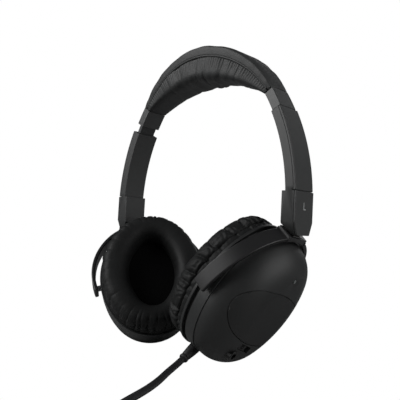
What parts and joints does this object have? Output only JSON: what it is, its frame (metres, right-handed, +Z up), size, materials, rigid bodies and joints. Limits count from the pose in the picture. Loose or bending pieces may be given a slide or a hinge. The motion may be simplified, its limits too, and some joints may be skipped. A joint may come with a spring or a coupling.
{
  "type": "aviation headset",
  "caption": "Over-ear aviation headset: curved padded band, sliding arms, forks that swivel and tilt, oval cups with gathered cushions, battery door and coiled cable.",
  "frame": {"origin": "middle of the footprint of the headset without its cable, on the surface that it stands on", "axes": "+Z up, +X towards the wearer's left ear, -Y forwards, the way the wearer faces"},
  "size_m": [0.2173, 0.2185, 0.2042],
  "materials": {
    "band_leatherette": "soft black leatherette with a fine grain",
    "spring_steel": "bare spring steel",
    "collar_plastic": "satin moulded black",
    "slider_metal": "dark brushed steel",
    "steel": "turned steel",
    "arm_plastic": "satin moulded black",
    "black_screws": "blackened steel",
    "fork_metal": "satin black paint on die-cast alloy",
    "cup_plastic": "fine spark-eroded black, satin",
    "inner_plastic": "plain black",
    "magnet_steel": "nickel-plated",
    "diaphragm_film": "thin film",
    "black_cloth": "open acoustic mesh",
    "cushion_leatherette": "soft gathered leatherette",
    "battery_sleeve": "plain shrink sleeve",
    "contact_nickel": "nickel-plated",
    "board_green": "solder mask",
    "lamp_lens": "frosted lens",
    "switch_plastic": "ribbed, satin",
    "socket_plastic": "moulded",
    "strain_rubber": "matte",
    "cable_jacket": "smooth matte jacket",
    "plug_rubber": "matte overmould",
    "plug_plating": "nickel-plated"
  },
  "bodies": {
    "headband": {"headband_top_cover": "band_leatherette", "headband_spring": "spring_steel", "headband_cushion": "band_leatherette"},
    "left_band_end": {"left_end_cap": "collar_plastic", "left_slider_bar": "slider_metal", "left_end_cap_pins": "steel"},
    "right_band_end": {"right_end_cap": "collar_plastic", "right_slider_bar": "slider_metal", "right_end_cap_pins": "steel"},
    "left_arm": {"left_arm_inner_shell": "arm_plastic", "left_arm_outer_cover": "arm_plastic", "left_hinge_cover": "arm_plastic", "left_arm_screws": "black_screws", "left_detent_spring": "spring_steel"},
    "right_arm": {"right_arm_inner_shell": "arm_plastic", "right_arm_outer_cover": "arm_plastic", "right_hinge_cover": "arm_plastic", "right_arm_screws": "black_screws", "right_detent_spring": "spring_steel"},
    "left_fork": {"left_fork": "fork_metal", "left_swivel_pin": "steel", "left_tilt_pins": "steel"},
    "right_fork": {"right_fork": "fork_metal", "right_swivel_pin": "steel", "right_tilt_pins": "steel"},
    "left_cup": {"left_cup_body": "cup_plastic", "left_outer_shell": "cup_plastic", "left_cup_screws": "black_screws", "left_baffle": "inner_plastic", "left_driver_frame": "inner_plastic", "left_driver_magnet": "magnet_steel", "left_driver_diaphragm": "diaphragm_film", "left_ear_cloth": "black_cloth", "left_ear_cushion": "cushion_leatherette", "battery": "battery_sleeve", "battery_tray": "inner_plastic", "battery_contacts": "contact_nickel", "circuit_board": "board_green", "indicator_lamp": "lamp_lens", "switch_base": "inner_plastic", "jack_socket": "socket_plastic", "cable_gland": "strain_rubber", "cable": "cable_jacket", "cable_coil": "cable_jacket", "cable_tail": "cable_jacket", "plug_body": "plug_rubber", "plug_contact": "plug_plating"},
    "right_cup": {"right_cup_body": "cup_plastic", "right_outer_shell": "cup_plastic", "right_cup_screws": "black_screws", "right_baffle": "inner_plastic", "right_driver_frame": "inner_plastic", "right_driver_magnet": "magnet_steel", "right_driver_diaphragm": "diaphragm_film", "right_ear_cloth": "black_cloth", "right_ear_cushion": "cushion_leatherette"},
    "battery_door": {"battery_door": "cup_plastic"},
    "power_switch": {"power_switch": "switch_plastic"}
  },
  "joints": [
    {"name": "left_slide", "type": "hinge", "parent": "left_band_end", "child": "left_arm", "pos_m": [-0.04786, 0.0054, 0.09876], "axis": [0, 1, 0], "range_deg": [0, 13]},
    {"name": "right_slide", "type": "hinge", "parent": "right_band_end", "child": "right_arm", "pos_m": [0.04788, 0.0054, 0.09876], "axis": [0, -1, 0], "range_deg": [-2.6, 10.4]},
    {"name": "left_flex", "type": "hinge", "parent": "headband", "child": "left_band_end", "pos_m": [0.05878, 0.0054, 0.17001], "axis": [0, -1, 0], "range_deg": [0, 6.5]},
    {"name": "right_flex", "type": "hinge", "parent": "headband", "child": "right_band_end", "pos_m": [-0.05876, 0.0054, 0.17001], "axis": [0, 1, 0], "range_deg": [-1.3, 5.2]},
    {"name": "left_swivel", "type": "hinge", "parent": "left_arm", "child": "left_fork", "pos_m": [0.0443, -0.00002, 0.05062], "axis": [0.6699, 0.1219, 0.7324], "range_deg": [0, 90]},
    {"name": "right_swivel", "type": "hinge", "parent": "right_arm", "child": "right_fork", "pos_m": [-0.042, -0.00002, 0.04649], "axis": [0.7024, -0.1219, -0.7012], "range_deg": [-31, 59]},
    {"name": "left_tilt", "type": "hinge", "parent": "left_fork", "child": "left_cup", "pos_m": [0.0443, -0.00002, 0.05062], "axis": [-0.0823, 0.9925, -0.0899], "range_deg": [-1.6, 12.4]},
    {"name": "right_tilt", "type": "hinge", "parent": "right_fork", "child": "right_cup", "pos_m": [-0.042, -0.00002, 0.04649], "axis": [-0.4378, -0.8508, -0.2907], "range_deg": [-9, 5]},
    {"name": "battery_door", "type": "slide", "parent": "left_cup", "child": "battery_door", "axis": [0.8813, 0.0303, -0.4716], "range_m": [0, 0.012]},
    {"name": "power_switch", "type": "slide", "parent": "left_cup", "child": "power_switch", "axis": [-0.2125, 0.9168, -0.3382], "range_m": [0, 0.004]}
  ],
  "couplings": [
    {"joint": "left_flex", "follows": "left_slide", "ratio": 0.5},
    {"joint": "right_flex", "follows": "right_slide", "ratio": 0.5}
  ]
}
